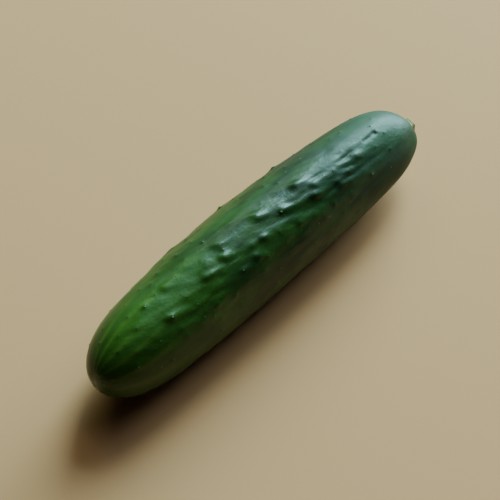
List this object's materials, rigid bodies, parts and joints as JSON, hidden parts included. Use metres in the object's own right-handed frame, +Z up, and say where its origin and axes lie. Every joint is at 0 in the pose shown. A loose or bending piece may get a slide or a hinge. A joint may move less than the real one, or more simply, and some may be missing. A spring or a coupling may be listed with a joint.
{
  "type": "cucumber",
  "caption": "Whole dark green slicing cucumber with a snapped stem stub, lying on its flattened belly.",
  "frame": {"origin": "on the table, under the centre of the box round the fruit and its stem stub", "axes": "+Z up, +X along the fruit from the blossom end to the stem end, +Y to the side that the slight bow points to"},
  "size_m": [0.2012, 0.045, 0.0443],
  "materials": {
    "cucumber_skin": "satin, waxy, warted green skin",
    "dry_stalk": "matt, pale green, fibrous"
  },
  "bodies": {
    "root": {"fruit": "cucumber_skin", "stem_stub": "dry_stalk"}
  },
  "joints": []
}
